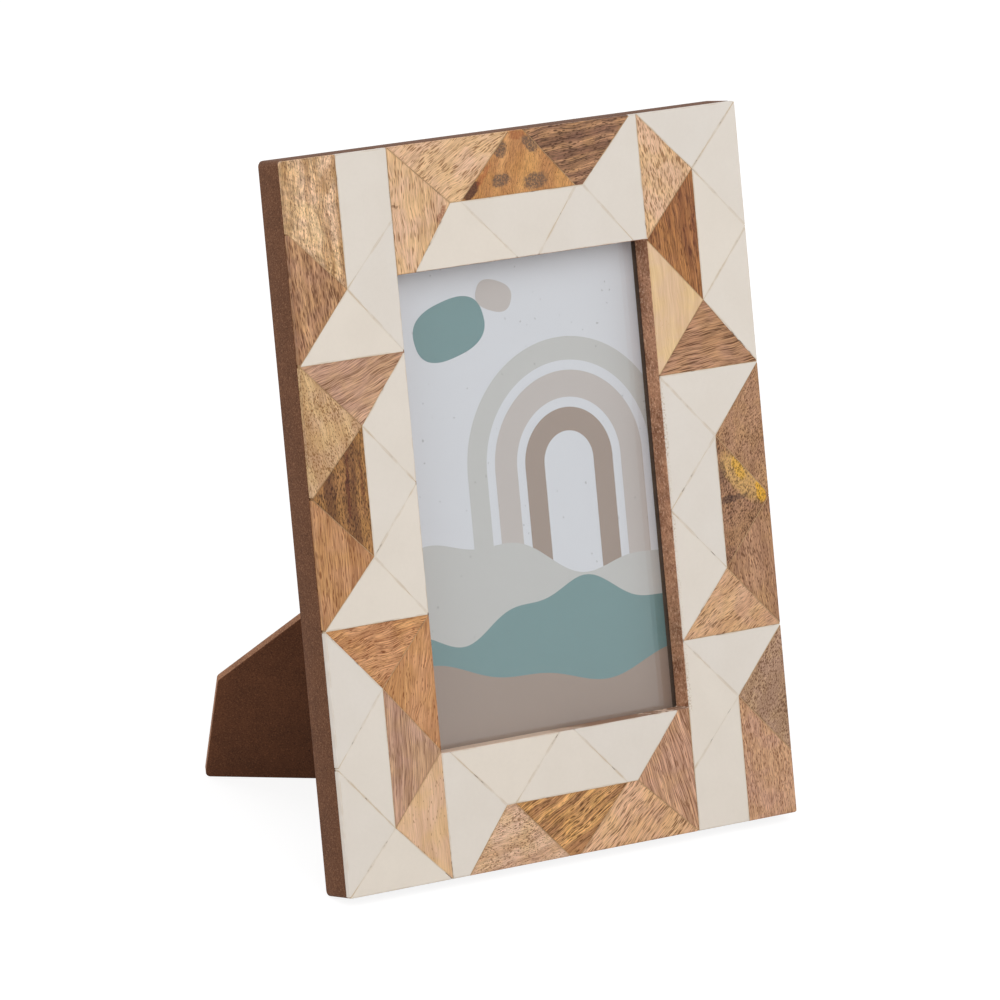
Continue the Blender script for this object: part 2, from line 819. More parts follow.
@dataclass(frozen=True)
class WoodFinish:
    """How one wood tile looks: its timber, the direction of its grain and the strength of its figure."""

    timber: Timber
    seed: int
    turn: float
    band: float
    band_size: float
    ripple: float
    fibre: float
    fibre_length: float
    pores: float
    pore_length: float
    pore_width: float
    curl: float
    tone: float
    streaks: tuple[Streak, ...] = ()

    def material(self, name: str, effects: Effects) -> Material:
        """Builds the tile's material, with its stains and a darker rim.

        Args:
            name: The material's name.
            effects: The shared groups.

        Returns:
            The material.
        """
        n = Paint(name, Coat_Weight=0.06, Coat_Roughness=0.3, Specular_IOR_Level=0.25)
        base, band, pore = ((*(c * self.tone for c in srgb(code)[:3]), 1.0) for code in self.timber.value)
        shift = (0.137 * self.seed % 1, 0.071 * self.seed % 1, 0.219 * self.seed % 1)
        wood = n.group(
            effects.timber, Vector=n.placed(self.turn, shift), Base=base, Band=band, Pore=pore,
            Band_Size=self.band_size, Band_Amount=self.band, Ripple=self.ripple, Fibre_Amount=self.fibre,
            Fibre_Length=self.fibre_length, Pore_Amount=self.pores, Pore_Length=self.pore_length,
            Pore_Width=self.pore_width, Curl=self.curl,
        )
        colour = wood["Color"]
        for streak in self.streaks:
            stain = n.group(effects.streak, Vector=n.placed(streak.turn, centre=streak.at),
                            Width=streak.width, Length=streak.length, Ragged=streak.ragged)
            # The pores and fibres stay darker than the wood under a stain.
            soaked = n.scale(srgb(streak.colour)[:3], n.times_plus(wood["Height"], 0.62, 0.94))
            colour = n.mix(n.times(stain["Mask"], streak.amount), colour, soaked)
        worn = n.ramp(n.noise(n.in_mm(n.placed()), 0.6), 0.4, 0.7, 0.05, 0.45)
        colour = n.mix(n.times(n.kept("rim"), worn), colour, pore)
        return n.done(wood["Height"], 0.05, 0.5, Base_Color=colour, Roughness=wood["Roughness"])


@dataclass(frozen=True)
class BoneFinish:
    """Cream cast resin, polished, in tints from cool white to cream, with specks right of the window."""

    cool: str = "E1D9D0"
    warm: str = "E7DCCE"
    cloud: str = "D8CDBF"
    stain: str = "C0A684"
    speck: str = "AC8A64"

    def material(self, name: str, effects: Effects) -> Material:
        """Builds the material, whose tint follows each tile's own number.

        Args:
            name: The material's name.
            effects: The shared groups.

        Returns:
            The material.
        """
        n = Paint(name, Coat_Weight=0.25, Coat_Roughness=0.18, Roughness=0.42)
        base = n.mix(n.kept("tint"), srgb(self.cool), srgb(self.warm))
        resin = n.group(effects.mottle, Vector=n.placed(20), Base=base, Cloud=srgb(self.cloud),
                        Cloud_Size=14.0, Cloud_Amount=0.22, Scuff_Size=1.2, Scuff_Amount=0.05)
        mm = n.from_middle()
        soiled = n.times(n.kept("rim"), n.ramp(n.noise(mm, 0.13, 3.0, 0.6), 0.42, 0.62, 0.03, 0.5))
        colour = n.mix(soiled, resin["Color"], srgb(self.stain))
        off = n.split(mm)
        beside = n.math("SUBTRACT", off[0], UPRIGHT.window_w / 2 / MM)
        above = n.math("SUBTRACT", n.math("ABSOLUTE", off[2]), UPRIGHT.window_h / 2 / MM)
        near = n.ramp(n.math("MAXIMUM", beside, above), 0.4, 1.8, 1.0, 0.0)
        specks = n.times(n.times(n.ramp(beside, -0.4, 0.2), near), n.ramp(n.noise(mm, 1.6), 0.44, 0.66))
        here = n.ramp(n.noise(mm, 0.05, 1.0), 0.4, 0.56, 0.25, 0.85)
        return n.done(
            resin["Clouds"], 0.02, Base_Color=n.mix(n.times(specks, here), colour, srgb(self.speck)),
            Roughness=n.ramp(resin["Scuffs"], 0.2, 0.8, 0.34, 0.48),
        )


@dataclass(frozen=True)
class GlueFinish:
    """The filler in a joint: it fades to a second colour, with dark smudges here and there."""

    main: str
    faded: str
    smudge: str
    smudges: float

    def material(self, name: str, effects: Effects) -> Material:
        """Builds the material.

        Args:
            name: The material's name.
            effects: The shared groups.

        Returns:
            The material.
        """
        n = Paint(name, Roughness=0.6)
        at = n.placed()
        mm = n.in_mm(at)
        colour = n.mix(n.ramp(n.noise(mm, 0.08), 0.36, 0.5), srgb(self.main), srgb(self.faded))
        fine = n.group(effects.mottle, Vector=at, Base=colour, Cloud=srgb(self.main), Cloud_Size=2.0,
                       Cloud_Amount=0.3, Scuff_Size=0.3, Scuff_Amount=0.2)
        dark = n.times(n.ramp(n.noise(mm, 0.16, 3.0, 0.6), 0.56, 0.68), self.smudges)
        return n.done(Base_Color=n.mix(dark, fine["Color"], srgb(self.smudge)))


@dataclass(frozen=True)
class FibreFinish:
    """Brown fibreboard: its colour, and how coarse and fuzzy the fibres look."""

    base: str
    dark: str
    light: str
    size: float
    grain: float = 1.0
    cloud: float = 0.4
    relief: float = 0.03

    def material(self, name: str, effects: Effects) -> Material:
        """Builds the material.

        Args:
            name: The material's name.
            effects: The shared groups.

        Returns:
            The material.
        """
        n = Paint(name, Roughness=0.72, Specular_IOR_Level=0.15)
        fibre = n.group(effects.fibre, Vector=n.placed(), Base=srgb(self.base), Dark=srgb(self.dark),
                        Light=srgb(self.light), Grain_Size=self.size, Grain_Amount=self.grain,
                        Cloud_Amount=self.cloud)
        return n.done(fibre["Height"], self.relief, 0.6, Base_Color=self.weathered(n, fibre["Color"]))

    def weathered(self, n: Paint, colour: Socket) -> Socket:
        """The colour as it stays on a plain board."""
        return colour


@dataclass(frozen=True)
class WallFinish(FibreFinish):
    """The raw wall of the window, whose sill is pale with dust and chipped near its right end."""

    dust: str = "F0D8C4"
    damp: str = "A3816C"

    def weathered(self, n: Paint, colour: Socket) -> Socket:
        """Lays dust on the sill's left half and pale chips on its right end.

        Args:
            n: The material in the making.
            colour: The board's own colour.

        Returns:
            The colour with both.
        """
        mm = n.from_middle()
        off = n.split(mm)
        above = n.math("ADD", off[2], UPRIGHT.window_h / 2 / MM)
        wander = n.times_plus(n.noise(mm, 0.12, 3.0), 24.0, off[0])
        chips = n.times(n.ramp(off[0], 24.0, 34.0), n.ramp(n.noise(mm, 0.45, 3.0), 0.5, 0.58))
        pale = n.math("MAXIMUM", n.ramp(wander, 20.0, 8.0), chips)
        sill = n.times(n.ramp(above, 0.4, 0.15), 0.85)
        return n.mix(sill, colour, n.mix(pale, srgb(self.damp), srgb(self.dust)))


@dataclass(frozen=True)
class MetalFinish:
    """Brass-plated sheet steel with fine scuffs and duller clouds."""

    base: str = "C8AE78"
    dull: str = "AA8E58"
    roughness: tuple[float, float] = (0.2, 0.36)

    def material(self, name: str, effects: Effects) -> Material:
        """Builds the material.

        Args:
            name: The material's name.
            effects: The shared groups.

        Returns:
            The material.
        """
        n = Paint(name, Metallic=1.0)
        metal = n.group(effects.mottle, Vector=n.placed(), Base=srgb(self.base), Cloud=srgb(self.dull),
                        Cloud_Size=7.0, Cloud_Amount=0.4, Scuff_Size=0.3, Scuff_Amount=0.3)
        return n.done(metal["Scuffs"], 0.02, Base_Color=metal["Color"],
                      Roughness=n.ramp(metal["Scuffs"], 0.25, 0.75, *self.roughness))


@dataclass(frozen=True)
class InkFinish:
    """Matt printed card: a flat colour with the faint dots and specks of the print."""

    colour: str
    speck: str = "6E6A66"

    def material(self, name: str, effects: Effects) -> Material:
        """Builds the material.

        Args:
            name: The material's name.
            effects: The shared groups.

        Returns:
            The material.
        """
        n = Paint(name, Roughness=0.68, Specular_IOR_Level=0.35)
        paper = n.group(effects.mottle, Vector=n.placed(), Base=srgb(self.colour), Cloud=srgb(self.colour),
                        Cloud_Size=20.0, Cloud_Amount=0.3, Scuff_Size=0.32, Scuff_Amount=0.06)
        specks = n.times(n.ramp(n.noise(n.in_mm(n.placed()), 0.75, 0.0), 0.8, 0.82), 0.35)
        return n.done(Base_Color=n.mix(specks, paper["Color"], srgb(self.speck)))


@dataclass(frozen=True)
class GlassFinish:
    """Clear float glass that lets light through to the card behind it."""

    tint: Colour = (0.985, 0.995, 0.99, 1)
    shade: Colour = (0.96, 0.97, 0.97, 1)

    def material(self, name: str) -> Material:
        """Builds the material.

        Args:
            name: The material's name.

        Returns:
            The material.
        """
        n = Paint(name, Transmission_Weight=1.0, Roughness=0.0, IOR=1.5, Base_Color=self.tint)
        clear = n.add("BsdfTransparent", None, Color=self.shade)
        path = n.add("LightPath").outputs
        plain = n.math("MAXIMUM", path["Is Shadow Ray"], path["Is Diffuse Ray"])
        return n.surfaced(n.add("MixShader", None, i0=plain, i1=n.shader.outputs[0], i2=clear.outputs[0]))


# ---- The mosaic ----------------------------------------------------------------------------


WOOD_TABLE = """
tile      timber     turn band size ripl fibr len  pore len  wide curl tone
left_1    STRAW      0    0.5  3    0.5  0.3  8    0.4  2.4  0.6  0    0.98
left_2    ROSY       4    0.8  2    0.3  0.8  9    0.5  6    0.6  0    1
left_3    AMBER      12   0.7  2.5  0.8  0.75 8    0.5  3    0.6  0    1.04
left_4    AMBER      82   0.7  2    0.9  1    5    0.6  3    0.6  0    1.05
left_5    AMBER      0    0.8  2.4  0.3  0.8  8    0.6  4    0.6  0    0.92
left_6    DARK_OLIVE -3   0.9  3.4  0.5  1    1.6  0.8  1.4  0.5  0    1
left_7    OLIVE      -14  0.8  4    0.5  0.5  6    1    0.9  0.42 0    1
left_8    ROSY       72   0.5  2.5  0.5  0.8  7    0.8  9    0.5  0    1.05
left_9    BROWN      -4   0.9  2.6  0.3  0.9  4    0.9  3.5  0.6  0    1.07
left_10   GOLD       0    0.9  3.5  0.8  0.8  2.5  0.7  1.2  0.4  0.7  1
right_1   STRAW      -8   0.3  4    0.5  0.5  3    1.05 2.2  0.5  0    1.02
right_2   RED_BROWN  -3   0.9  3    0.3  1    6    0.6  3    0.6  0    1
right_3   PALE       0    0.5  4    0.5  0.25 8    0.2  2.4  0.6  0    1
right_4   UMBER      85   0.6  1.6  0.3  0.8  7    0.8  9    0.5  0    1.12
right_5   BROWN      30   0.5  4    0.5  0.7  1.2  0.9  0.8  0.42 0    0.95
right_6   UMBER      16   0.6  4    0.5  0.8  1.2  1.1  0.8  0.42 0    0.98
right_7   BROWN      -5   0.7  2    0.5  0.8  4    0.8  1.6  0.5  0    1
right_8   HONEY      62   0.5  4    0.5  0.6  4    0.8  3    0.45 0    0.96
right_9   GREYED     28   0.9  5    0.5  0.8  1.2  1    0.8  0.42 0    1.05
right_10  PINK       -2   0.6  1.6  0.3  0.8  2.5  0.8  1.5  0.45 0    1.02
top_1     STRAW      0    0.6  2.6  0.5  0.6  6    0.7  4    0.6  0    1.02
top_2     STRAW      62   0.35 4    0.5  0.55 5    0.9  3    0.45 0    1.02
top_3     SPALTED    20   0.7  6    0.5  0.5  1.5  0.45 0.9  0.5  0    1
top_4     WALNUT     86   0.95 2.4  0.4  1    5    0.7  2    0.6  0.3  1
bottom_1  PINK       -14  0.8  1.5  0.3  1    9    0.6  4    0.6  0    1
bottom_2  HONEY      50   0.4  4    0.5  0.6  7    0.95 4    0.5  0    1.05
bottom_3  MUSTARD    64   0.95 1.8  0.4  1    6    0.7  3    0.6  0.3  1
bottom_4  TAN        80   0.7  3    0.5  0.6  3    0.9  0.9  0.42 0    1
"""

STREAKS: dict[str, tuple[Streak, ...]] = {
    "left_6": (
        Streak("5A2412", (13, 122), 2, 0.6, 15, 0.7),
        Streak("5A2412", (18, 120), -2, 0.5, 10, 0.5),
    ),
    "left_10": (
        Streak("A87848", (15.5, 209), 20, 2.4, 5, 0.55),
        Streak("F2D2A0", (9.5, 197), -24, 2, 8, 0.35, 0.8),
    ),
    "right_2": (Streak("6A3420", (146, 184), 2, 1.2, 10, 0.6),),
    "right_6": (
        Streak("DDB068", (155.4, 103.4), -44, 4.6, 11, 0.72, 0.5),
        Streak("E8AC1C", (161.8, 98.6), -14, 1.9, 4.2, 0.8),
        Streak("E8B030", (154, 106.4), -32, 1.7, 4.6, 0.65),
        Streak("48302A", (151.5, 97.5), 84, 1.1, 6.5, 0.75),
        Streak("48302A", (148, 106), 10, 1.4, 4, 0.6),
    ),
    "top_1": (
        Streak("8A4E30", (54.8, 194.3), 28, 1.2, 3.4, 0.7),
        Streak("7A5030", (38.6, 198.3), 90, 0.4, 1.2, 0.7),
    ),
    "top_3": (
        Streak("685040", (77.8, 211), 15, 2.4, 2.9, 0.95, 0.5),
        Streak("685040", (77, 201.8), 76, 2.1, 3.8, 0.95, 0.5),
        Streak("685040", (88.3, 211.6), -50, 2, 3.8, 0.95, 0.5),
        Streak("685040", (89.5, 200.4), 84, 2.7, 4.8, 0.95, 0.5),
        Streak("482214", (66.2, 200), 45, 1.9, 4.6, 0.95, 0.1),
        Streak("96502C", (84, 214.5), 90, 1.4, 3, 0.6),
        Streak("A8562C", (71, 204), 40, 0.8, 5, 0.5),
    ),
}


def wood_finishes() -> dict[str, WoodFinish]:
    """Reads the table of the wood tiles.

    Returns:
        The finish of each tile, by the name of its solid part.
    """
    finishes = {}
    for seed, row in enumerate(WOOD_TABLE.strip().splitlines()[1:], 1):
        tile, timber, *figure = row.split()
        streaks = STREAKS.get(tile, ())
        finishes[f"wood_tile_{tile}"] = WoodFinish(Timber[timber], seed, *map(float, figure), streaks)
    return finishes


@dataclass
class Mosaic:
    """The tiles on the frame's face and the filler in their joints."""

    effects: Effects
    nodes: dict[str, Piece]
    slots: dict[str, str]
    ease: float = 0.05 * MM
    outer_ease: float = 0.35 * MM
    corner: float = 0.1 * MM
    frame_corner: float = 1.2 * MM
    rim: float = 0.45 * MM
    edge_shade: float = 0.4
    lift: float = 0.02 * MM
    gap: float = 0.24 * MM
    groove: float = 0.05 * MM
    filler_inset: float = 0.4 * MM
    near_corner: float = 1.2 * MM
    near_edge: float = 0.3 * MM
    snap: float = 0.01 * MM
    rounds: int = 8
    bone: BoneFinish = BoneFinish()
    glue: tuple[GlueFinish, GlueFinish] = (
        GlueFinish("9C7850", "B8946A", "4A3424", 0.5),
        GlueFinish("CCB698", "DDD3C6", "6A5644", 0.8),
    )

    def __post_init__(self) -> None:
        """Starts the filler, and the count of the tiles."""
        self.filler = Shell()
        self.number = 0

    def outlines(self, node: str) -> list[np.ndarray]:
        """The corners of each tile of a node.

        Every face triangle of the tiles lies in one plane. Corners that share a triangle belong to
        one tile: the lowest mark among them spreads to them all in a few rounds. As each tile is
        convex, its corners follow each other by their angle about its middle.

        Args:
            node: The name of the solid part.

        Returns:
            For each tile its corners (x, z), counter-clockwise as seen from the front.
        """
        mesh = self.nodes[node].data
        mesh.calc_loop_triangles()
        points = np.zeros(len(mesh.vertices) * 3)
        mesh.vertices.foreach_get("co", points)
        points = UPRIGHT.unstand(points.reshape(-1, 3))
        triangles = np.zeros(len(mesh.loop_triangles) * 3, dtype=np.int64)
        mesh.loop_triangles.foreach_get("vertices", triangles)
        triangles = triangles.reshape(-1, 3)
        on_face = np.abs(points[:, 1] - UPRIGHT.face) < self.groove
        triangles = triangles[on_face[triangles].all(axis=1)]
        places = np.round(points[:, [0, 2]] / self.snap).astype(np.int64)
        spots, which = np.unique(places, axis=0, return_inverse=True)
        triangles = which.reshape(-1)[triangles]
        label = np.arange(len(spots))
        for _ in range(self.rounds):
            low = label[triangles].min(axis=1)
            for k in range(3):
                np.minimum.at(label, triangles[:, k], low)
        tiles = []
        for mark in np.unique(label[triangles]):
            tile = spots[(label == mark) & np.isin(np.arange(len(spots)), triangles)] * self.snap
            off = tile - tile.mean(axis=0)
            tiles.append(tile[np.argsort(np.arctan2(off[:, 1], off[:, 0]))])
        return tiles

    def radii(self, tile: np.ndarray) -> np.ndarray:
        """A radius for each corner of a tile.

        It is small but for the frame's own corners. There an arc of radius r lies
        r * (1 / sin(half angle) - 1) from the corner, and r is chosen so that this is the same as
        for the core's square corner.

        Args:
            tile: Its corners.

        Returns:
            The radii.
        """
        u, v = arms(tile)
        half = np.arccos((u * v).sum(1)) / 2
        recess = self.frame_corner * (math.sqrt(2) - 1) - self.gap / math.sqrt(2)
        ends = np.array([UPRIGHT.width, UPRIGHT.height])
        near = (np.abs(tile) < self.near_corner) | (np.abs(tile - ends) < self.near_corner)
        return np.where(near.all(axis=1), recess / (1 / np.sin(half) - 1), self.corner)

    def add_tile(self, shell: Shell, tile: np.ndarray, kind: int) -> None:
        """Adds one tile, with its face a hair higher or lower than its neighbours.

        A last ring inside the face marks off a narrow rim, on which the finish is darker. Round the
        tile, just below its face, lies its half of the filler in the joints.

        Args:
            shell: The piece that it belongs to.
            tile: Its corners.
            kind: The kind of filler: 0 between wood tiles, 1 between bone-coloured ones.
        """
        self.number += 1
        chance = math.sin(self.number * 12.9898) * 43758.5453 % 1
        front = UPRIGHT.face + self.lift * chance
        edges = np.array([0, 0, UPRIGHT.width, UPRIGHT.height])
        on_edge = np.abs(tile[:, [0, 1, 0, 1]] - edges) < self.near_edge
        outer = (on_edge & np.roll(on_edge, -1, axis=0)).any(axis=1)
        ease = np.where(outer, self.outer_ease, self.ease)
        rings = eased_slab(tile, self.radii(tile), -UPRIGHT.core, front, ease, both=False)
        inside = round_corners(draw_in(tile, self.rim), np.maximum(self.radii(tile) - self.rim, self.corner))
        rings = np.concatenate([rings, on_frame(inside, front)[None]])
        rim = [self.edge_shade] * (len(rings) - 2) + [1.0, 0.0]
        shell.loft(UPRIGHT.stand(rings), tint=chance, rim=rim)
        outline = self.kept_on_rails(draw_in(tile, -self.gap / 2), self.filler_inset)
        levels = [on_frame(outline, y) for y in (-UPRIGHT.core, UPRIGHT.face + self.groove)]
        self.filler.loft(UPRIGHT.stand(np.stack(levels)), slot=kind)

    def kept_on_rails(self, outline: np.ndarray, inset: float) -> np.ndarray:
        """Moves the points of an outline that lie off the frame's rails back on to them.

        Args:
            outline: Points (x, z).
            inset: How far inside the rails' edges they stay.

        Returns:
            The points.
        """
        up = UPRIGHT
        outline = np.clip(outline, inset, [up.width - inset, up.height - inset])
        low, _, high, _ = centred(up.window_w + 2 * inset, up.window_h + 2 * inset)
        inward = np.concatenate([outline - low, high - outline], axis=1)
        moves = np.array([[-1, 0], [0, -1], [1, 0], [0, 1]])[inward.argmin(axis=1)]
        return outline + moves * np.where((inward > 0).all(axis=1), inward.min(axis=1), 0.0)[:, None]

    def inlay(self, node: str, material: Material, kind: int) -> None:
        """Makes the piece that stands for one solid part, which holds one tile or more.

        Args:
            node: The solid part.
            material: The tiles' finish.
            kind: The kind of filler round them.
        """
        shell = Shell()
        for tile in self.outlines(node):
            self.add_tile(shell, tile, kind)
        name = node.replace("tiles", "inlay").replace("tile", "inlay")
        dress(shell.piece(name, [material]), "frame", [node])

    def build(self) -> None:
        """Makes every tile and the filler."""
        for node, finish in wood_finishes().items():
            self.inlay(node, finish.material(node.replace("tile", "finish"), self.effects), 0)
        bone = self.bone.material("bone_resin_polished", self.effects)
        for node in (n for n in self.nodes if n.startswith("bone_tiles")):
            self.inlay(node, bone, 1)
        glues = [glue.material(f"joint_filler_{i}", self.effects) for i, glue in enumerate(self.glue)]
        dress(self.filler.piece("tile_joint_filler", glues), "frame")


# ---- Core, glass, card and back ------------------------------------------------------------


@dataclass
class Carcass:
    """The fibreboard core, the glass and the back that lies in its pocket."""

    effects: Effects
    nodes: dict[str, Piece]
    corner: float = 1.6 * MM
    inner_corner: float = 0.5 * MM
    ease: float = 0.4 * MM
    bevel: float = 0.2 * MM
    skin: float = 0.1 * MM
    skin_reach: tuple[float, float] = (0.12 * MM, 0.18 * MM)
    back_corner: float = 0.8 * MM
    back_ease: float = 0.25 * MM
    stained: FibreFinish = FibreFinish("6C4731", "44291A", "986C50", 0.42, grain=0.95, cloud=0.25)
    raw: WallFinish = WallFinish("C28E6E", "6A4230", "E8BE9E", 0.75, cloud=0.65, relief=0.2)
    back_face: FibreFinish = FibreFinish("6A422C", "40261A", "8A5C40", 0.42, cloud=0.3)
    back_edge: FibreFinish = FibreFinish("A27356", "62402E", "CC9C78", 0.6, relief=0.12)

    def __post_init__(self) -> None:
        """Builds the finishes that the back shares with the easel leg."""
        self.face = self.back_face.material("back_board_face", self.effects)
        self.edge = self.back_edge.material("back_board_edge", self.effects)

    def core(self) -> None:
        """The core, as one profile carried round the frame.

        The profile runs over the outer side, the front, the window's wall with the skin of stain
        and glue on the tiles' inner sides, the ledge for the glass, the pocket's wall and the back.
        At each point of it the ring is a rectangle, drawn in from the frame's outline or out from
        the window's, with rounded corners.
        """
        up, e, bevel, skin = UPRIGHT, self.ease, self.bevel, self.skin
        arc = e * 0.3  # How far an edge of radius e is drawn in at 45 degrees.
        outer = rectangle(0, 0, up.width, up.height)
        window = centred(up.window_w, up.window_h)
        pocket = centred(up.picture_w + 2 * up.play, up.picture_h + 2 * up.play)
        profile: list[tuple[np.ndarray, float, float, int]] = [
            (outer, e, 0.0, 0),
            (outer, arc, -arc, 0),
            (outer, 0.0, -e, 0),
            (outer, 0.0, -up.core, 0),
            (window, -skin, -up.core, 1),
            (window, -skin, up.face + self.skin_reach[0], 1),
            (window, 0.0, up.face + self.skin_reach[1], 1),
            (window, 0.0, up.ledge - bevel, 1),
            (window, -bevel, up.ledge, 1),
            (pocket, 0.0, up.ledge, 1),
            (pocket, 0.0, -bevel, 0),
            (pocket, -bevel, 0.0, 0),
        ]
        rings = [
            on_frame(round_corners(draw_in(c, by), self.corner if c is outer else self.inner_corner), y)
            for c, by, y, _ in profile
        ]
        shell = Shell()
        shell.loft(up.stand(np.stack(rings)), capped=False, looped=True, slot=[s for *_, s in profile])
        finishes = [self.stained.material("core_stained_side", self.effects),
                    self.raw.material("core_raw_wall", self.effects)]
        dress(shell.piece("core_board", finishes, smooth=40), "frame", ["frame_core"])

    def back(self) -> None:
        """The back: a sheet with eased, paler edges."""
        up = UPRIGHT
        rings = eased_slab(centred(up.picture_w, up.picture_h), self.back_corner, up.board_front,
                           up.board_front + up.board, self.back_ease)
        shell = Shell()
        shell.loft(up.stand(rings), slot=EASED_RIM)
        piece = shell.piece("back_panel", [self.face, self.edge], smooth=35)
        dress(piece, "frame", ["back_board"])

    def pane(self) -> None:
        """The glass keeps its own solid and gets its material."""
        mesh = self.nodes["glass_pane"].data
        mesh.materials.clear()
        mesh.materials.append(GlassFinish().material("clear_float_glass"))
        log.info("glass_pane: kept, with a new material")

    def build(self) -> None:
        """Makes the core and the back, and dresses the glass."""
        self.core()
        self.back()
        self.pane()


class Ink(Enum):
    """The colours of the card's print."""

    PAPER = "DADAE0"
    TEAL = "6C8E90"
    TAUPE = "9E8A7E"
    GREIGE = "C2B8B4"
    MIST = "C4C2C0"
    SHADE = "5C4E44"


@dataclass
class Card:
    """The printed card: soft hills under a row of arches, in flat colours, with a dark border.

    The border lies behind the frame's lip, where the camera sees it through the glass.
    """

    effects: Effects
    thickness: float = 0.2 * MM
    behind_glass: float = 0.1 * MM
    corner: float = 0.3 * MM
    ease: float = 0.03 * MM
    layer: float = 0.0096 * MM
    border_layer: float = 0.096 * MM
    margin: float = 0.2 * MM
    right_margin: float = 0.5 * MM

    @staticmethod
    def arch(x: float, z: float, inner: float, outer: float, leg: float) -> np.ndarray:
        """A band that runs up, over a half circle and down again.

        Along the path the middle goes up from (x - r, z - leg), round the centre (x, z) and down to
        (x + r, z - leg). Across it, r runs from the inner to the outer radius.

        Args:
            x: Centre, in millimetres from the card's left edge.
            z: Centre, in millimetres from the card's lower edge.
            inner: Inner radius.
            outer: Outer radius.
            leg: Length of the straight legs.

        Returns:
            A grid (x, z) on the card.
        """
        steps = 49
        turn = np.concatenate([[math.pi], np.linspace(math.pi, 0, steps), [0]])
        drop = np.concatenate([[leg], np.zeros(steps), [leg]])
        r = np.linspace(inner, outer, 3)[:, None]
        return np.stack([x + r * np.cos(turn), z + r * np.sin(turn) - drop], axis=-1)

    @staticmethod
    def hill(foot: float, top: float, swell: float, waves: float, phase: float) -> np.ndarray:
        """A hill across the card: its upper line is top + swell * sin(waves * x + phase).

        A wave three times as fine and 0.3 times as high is added to it.

        Args:
            foot: Height of its lower line, in millimetres.
            top: Mean height of its upper line.
            swell: Height of the waves.
            waves: Waves across the card.
            phase: Where the waves start, in turns.

        Returns:
            A grid (x, z) on the card.
        """
        t = np.linspace(0, 1, 61)[None, :]
        s = np.linspace(0, 1, 3)[:, None]
        wave = np.sin(2 * math.pi * (waves * t + phase)) + 0.3 * np.sin(6 * math.pi * t * waves)
        up = foot + s * (top + swell * wave - foot)
        return np.stack([np.broadcast_to(t * UPRIGHT.picture_w / MM, up.shape), up], axis=-1)

    @staticmethod
    def pebble(x: float, z: float, width: float, height: float, turn: float) -> np.ndarray:
        """A rounded stone: the curve |u|^2.6 + |v|^2.6 = 1, turned about its middle.

        Args:
            x: Middle, in millimetres from the card's left edge.
            z: Middle, in millimetres from the card's lower edge.
            width: Its width.
            height: Its height.
            turn: Its turn in degrees.

        Returns:
            A grid (x, z) on the card.
        """
        a, power = np.linspace(0, 2 * math.pi, 65), 2 / 2.6
        sides = ((np.cos(a), width), (np.sin(a), height))
        u, v = (np.sign(side) * np.abs(side) ** power * size / 2 for side, size in sides)
        c, s = math.cos(math.radians(turn)), math.sin(math.radians(turn))
        r = np.linspace(0.001, 1, 3)[:, None]
        return np.stack([x + r * (u * c - v * s), z + r * (u * s + v * c)], axis=-1)

    def build(self) -> None:
        """Makes the card and its print, layer by layer from the paper outwards."""
        up, edge, right = UPRIGHT, self.margin, self.right_margin
        face = up.ledge + up.glass + self.behind_glass  # Depth y of the card's face.
        inks = [InkFinish(ink.value).material(f"print_{ink.name.lower()}", self.effects) for ink in Ink]
        order = list(Ink)
        sheet = centred(up.picture_w, up.picture_h)
        card = Shell()
        card.loft(up.stand(eased_slab(sheet, self.corner, face + self.thickness, face, self.ease)))
        dress(card.piece("card_paper", inks[:1]), "frame", ["printed_insert"])
        motifs: list[tuple[Ink, np.ndarray]] = [
            (Ink.MIST, self.arch(66, 84, 30, 37, 60)),
            (Ink.GREIGE, self.arch(66, 84, 19, 27, 60)),
            (Ink.TAUPE, self.arch(66, 84, 9, 16, 60)),
            (Ink.TEAL, self.pebble(27, 128, 26, 17, 14)),
            (Ink.GREIGE, self.pebble(44, 136, 13, 9, -20)),
            (Ink.MIST, self.hill(0, 58, 7, 0.9, 0.05)),
            (Ink.TEAL, self.hill(0, 42, 6, 1.1, 0.55)),
            (Ink.TAUPE, self.hill(0, 24, 5, 0.8, 0.2)),
        ]
        shell = Shell()
        for i, (ink, grid) in enumerate(motifs, 1):
            grid = np.clip(grid * MM, edge, [up.picture_w - edge, up.picture_h - edge])
            shell.sheet(up.stand(on_frame(grid + sheet[0], face - self.layer * i)), order.index(ink))
        reach = np.array([[-edge, -edge], [-right, -edge], [-right, 0], [-edge, 0]])
        inner = centred(up.window_w, up.window_h) + reach
        border = np.stack([draw_in(sheet, edge), inner])[:, [0, 1, 2, 3, 0]]
        shell.sheet(up.stand(on_frame(border, face - self.border_layer)), order.index(Ink.SHADE))
        dress(shell.piece("card_print", inks), "frame")


# ---- Leg, hinge and turn buttons -----------------------------------------------------------


